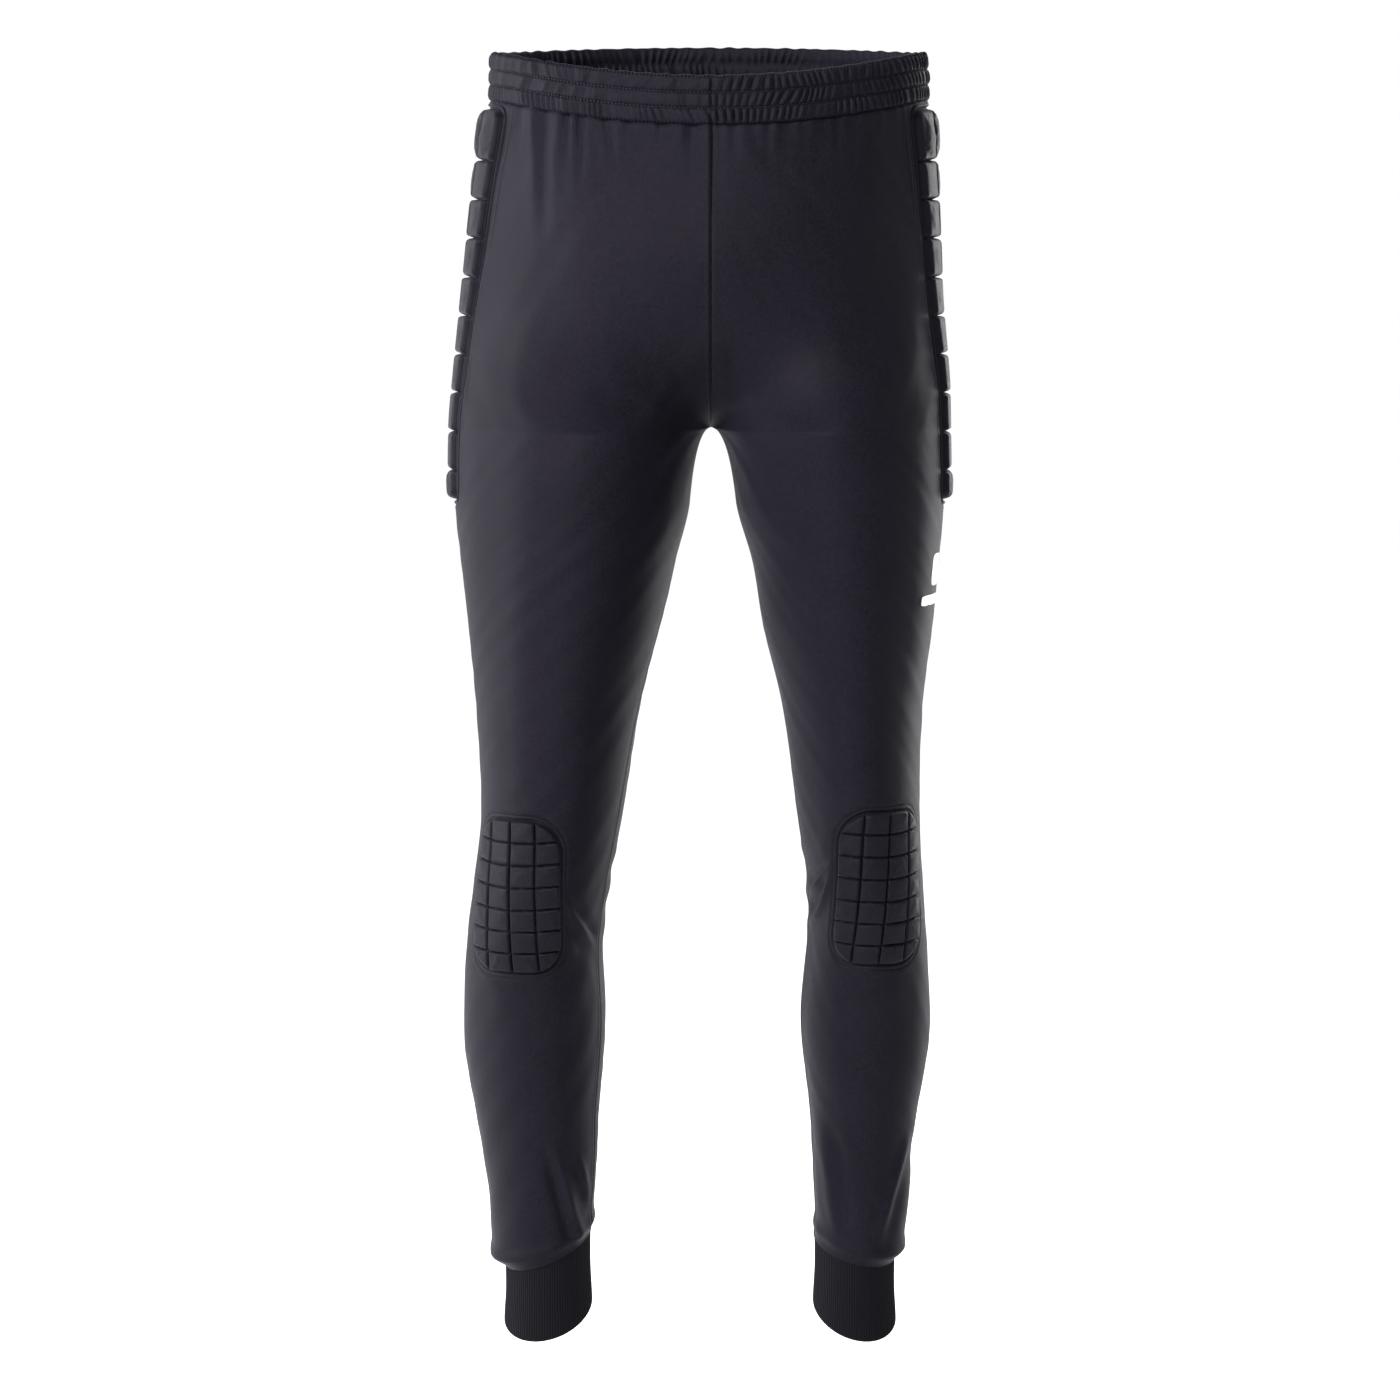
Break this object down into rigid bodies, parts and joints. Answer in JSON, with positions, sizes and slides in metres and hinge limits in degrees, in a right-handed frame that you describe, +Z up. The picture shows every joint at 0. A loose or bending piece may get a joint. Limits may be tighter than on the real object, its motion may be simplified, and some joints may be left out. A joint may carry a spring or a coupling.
{
  "type": "padded goalkeeper trousers",
  "caption": "Long tapered padded sports trousers with a gathered elastic waistband, quilted hip and knee pads and ribbed ankle cuffs.",
  "frame": {"origin": "centre of the waist opening, level with its top edge at the side seams", "axes": "+X to the wearer's left, +Y to the wearer's back, +Z up along the body"},
  "size_m": [0.404, 0.2502, 1.0355],
  "materials": {
    "tricot": "black brushed polyester tricot, soft with a faint bluish sheen",
    "quilted_cover": "matt black tricot heat-pressed in blocks over foam",
    "rib_knit": "matt black rib knit",
    "foam": "grey soft foam",
    "elastic": "off-white woven elastic",
    "white_print": "white heat transfer, thin and smooth"
  },
  "bodies": {
    "seat": {"elastic_lower": "elastic", "elastic_middle": "elastic", "elastic_upper": "elastic", "left_back_hip_fold": "tricot", "left_back_seat": "tricot", "left_front_hip_fold": "tricot", "left_front_seat": "tricot", "left_hip_foam": "foam", "left_hip_pad_cover": "quilted_cover", "right_back_hip_fold": "tricot", "right_back_seat": "tricot", "right_front_hip_fold": "tricot", "right_front_seat": "tricot", "right_hip_foam": "foam", "right_hip_pad_cover": "quilted_cover", "waistband_casing_left": "tricot", "waistband_casing_right": "tricot"},
    "right_thigh": {"right_back_knee_fold": "tricot", "right_back_thigh": "tricot", "right_front_knee_fold": "tricot", "right_front_thigh": "tricot", "right_knee_foam": "foam", "right_knee_pad_cover": "quilted_cover"},
    "right_shin": {"right_back_shin": "tricot", "right_cuff": "rib_knit", "right_front_shin": "tricot"},
    "left_thigh": {"left_back_knee_fold": "tricot", "left_back_thigh": "tricot", "left_front_knee_fold": "tricot", "left_front_thigh": "tricot", "left_knee_foam": "foam", "left_knee_pad_cover": "quilted_cover", "left_thigh_print": "white_print"},
    "left_shin": {"left_back_shin": "tricot", "left_cuff": "rib_knit", "left_front_shin": "tricot"}
  },
  "joints": [
    {"name": "right_hip", "type": "hinge", "parent": "seat", "child": "right_thigh", "pos_m": [-0.097, -0.02, -0.215], "axis": [-1, 0, 0], "range_deg": [-20, 75], "deforming": ["right_front_hip_fold", "right_back_hip_fold", "right_hip_foam", "right_hip_pad_cover"]},
    {"name": "right_knee", "type": "hinge", "parent": "right_thigh", "child": "right_shin", "pos_m": [-0.13, -0.02, -0.66], "axis": [1, 0, 0], "range_deg": [0, 90], "deforming": ["right_front_knee_fold", "right_back_knee_fold", "right_knee_foam", "right_knee_pad_cover"]},
    {"name": "left_hip", "type": "hinge", "parent": "seat", "child": "left_thigh", "pos_m": [0.093, -0.02, -0.215], "axis": [-1, 0, 0], "range_deg": [-20, 75], "deforming": ["left_front_hip_fold", "left_back_hip_fold", "left_hip_foam", "left_hip_pad_cover"]},
    {"name": "left_knee", "type": "hinge", "parent": "left_thigh", "child": "left_shin", "pos_m": [0.116, -0.02, -0.66], "axis": [1, 0, 0], "range_deg": [0, 90], "deforming": ["left_front_knee_fold", "left_back_knee_fold", "left_knee_foam", "left_knee_pad_cover"]}
  ]
}
